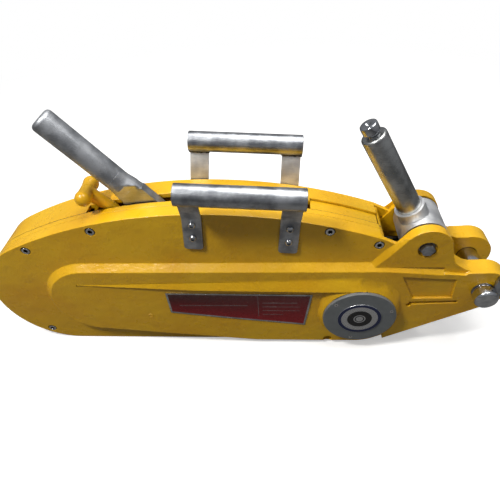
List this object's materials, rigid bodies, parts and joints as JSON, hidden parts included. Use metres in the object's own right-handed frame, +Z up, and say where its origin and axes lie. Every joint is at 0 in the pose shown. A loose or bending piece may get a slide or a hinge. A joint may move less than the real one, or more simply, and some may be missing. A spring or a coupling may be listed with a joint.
{
  "type": "wire rope puller",
  "caption": "Lever-operated wire rope puller: cast casing with carrying handles, forward, reverse and release levers, rope jaws inside and an anchor clevis with a pin.",
  "frame": {"origin": "on the flat bottom of the casing, in its mid-plane", "axes": "+X from the rope guide in the nose to the anchor clevis, +Z up from the flat bottom, +Y across the casing to the side without the name plate"},
  "size_m": [0.6677, 0.132, 0.3412],
  "materials": {
    "yellow_enamel": "glossy yellow enamel over cast aluminium",
    "zinc_plate": "bright zinc plating",
    "dark_steel": "oiled steel",
    "jaw_steel": "hardened ground steel",
    "spring_steel": "spring steel",
    "bright_screw": "polished",
    "grey_cap": "satin grey paint",
    "spun_disc": "spun aluminium with a dark blue rim",
    "red_plate": "dark red enamel with a bare metal border",
    "bronze": "bearing bronze"
  },
  "bodies": {
    "casing": {"near_shell": "yellow_enamel", "middle_frame": "yellow_enamel", "far_shell": "yellow_enamel", "slot_cover": "yellow_enamel", "rope_guide": "bronze", "near_casing_screws": "dark_steel", "far_casing_screws": "dark_steel", "near_hub_cap": "grey_cap", "far_hub_cap": "grey_cap", "near_cap_disc": "spun_disc", "far_cap_disc": "spun_disc", "hub_cap_screws": "bright_screw", "name_plate": "red_plate", "near_crank_bush": "bronze", "far_crank_bush": "bronze", "lever_pin": "zinc_plate", "lever_pin_nut": "zinc_plate", "reverse_pivot": "dark_steel", "release_pivot": "dark_steel", "anchor_pin": "zinc_plate", "keeper_screw": "zinc_plate", "near_grip_tube": "zinc_plate", "far_grip_tube": "zinc_plate", "near_grip_straps": "zinc_plate", "far_grip_straps": "zinc_plate", "strap_screws": "zinc_plate"},
    "keeper": {"keeper": "zinc_plate"},
    "crank": {"crank_shaft": "dark_steel", "rocker_hub": "dark_steel", "near_rocker_plate": "dark_steel", "far_rocker_plate": "dark_steel", "rocker_pins": "dark_steel"},
    "drive_bar": {"near_drive_bar": "dark_steel", "far_drive_bar": "dark_steel", "rear_lower_jaw": "jaw_steel", "rear_bridge": "dark_steel", "rear_jaw_spring": "spring_steel"},
    "rear_jaw": {"rear_upper_jaw": "jaw_steel"},
    "link_bar": {"near_link_bar": "dark_steel", "far_link_bar": "dark_steel", "front_lower_jaw": "jaw_steel", "front_bridge": "dark_steel", "front_jaw_spring": "spring_steel"},
    "front_jaw": {"front_upper_jaw": "jaw_steel"},
    "forward_lever": {"forward_lever_hub": "zinc_plate", "forward_lever_shank": "zinc_plate", "forward_lever_knob": "zinc_plate", "forward_drive_pin": "dark_steel"},
    "reverse_lever": {"reverse_lever_blade": "zinc_plate", "reverse_lever_neck": "zinc_plate", "reverse_lever_tube": "zinc_plate", "reverse_lever_cap": "zinc_plate", "reverse_drive_pin": "dark_steel"},
    "release_lever": {"release_lever": "yellow_enamel"}
  },
  "joints": [
    {"name": "forward_lever_hinge", "type": "hinge", "parent": "casing", "child": "forward_lever", "pos_m": [0.218, 0, 0.179], "axis": [0, 1, 0], "range_deg": [0, 60]},
    {"name": "drive_bar_slide", "type": "slide", "parent": "casing", "child": "drive_bar", "axis": [1, 0, 0], "range_m": [-0.032, 0]},
    {"name": "crank_hinge", "type": "hinge", "parent": "casing", "child": "crank", "pos_m": [0.151, 0, 0.072], "axis": [0, 1, 0], "range_deg": [-44.8, 0]},
    {"name": "link_bar_slide", "type": "slide", "parent": "casing", "child": "link_bar", "axis": [1, 0, 0], "range_m": [0, 0.032]},
    {"name": "reverse_lever_hinge", "type": "hinge", "parent": "casing", "child": "reverse_lever", "pos_m": [-0.08, 0, 0.183], "axis": [0, 1, 0], "range_deg": [0, 55.43]},
    {"name": "release_lever_hinge", "type": "hinge", "parent": "casing", "child": "release_lever", "pos_m": [-0.138, 0, 0.185], "axis": [0, 1, 0], "range_deg": [-12, 0], "stiffness_Nm_per_rad": 1, "springref_deg": 17.19},
    {"name": "rear_jaw_lift", "type": "slide", "parent": "drive_bar", "child": "rear_jaw", "axis": [0, 0, 1], "range_m": [0, 0.004], "deforming": ["rear_jaw_spring"]},
    {"name": "front_jaw_lift", "type": "slide", "parent": "link_bar", "child": "front_jaw", "axis": [0, 0, 1], "range_m": [0, 0.004], "deforming": ["front_jaw_spring"]},
    {"name": "keeper_hinge", "type": "hinge", "parent": "casing", "child": "keeper", "pos_m": [0.312, -0.0463, 0.136], "axis": [0, -1, 0], "range_deg": [0, 100]}
  ],
  "couplings": [
    {"joint": "drive_bar_slide", "follows": "forward_lever_hinge", "m_per_rad": -0.030558},
    {"joint": "crank_hinge", "follows": "forward_lever_hinge", "ratio": -0.74667},
    {"joint": "link_bar_slide", "follows": "forward_lever_hinge", "m_per_rad": 0.030558},
    {"joint": "reverse_lever_hinge", "follows": "forward_lever_hinge", "ratio": 0.9238},
    {"joint": "rear_jaw_lift", "follows": "release_lever_hinge", "m_per_rad": -0.019099},
    {"joint": "front_jaw_lift", "follows": "release_lever_hinge", "m_per_rad": -0.019099}
  ]
}
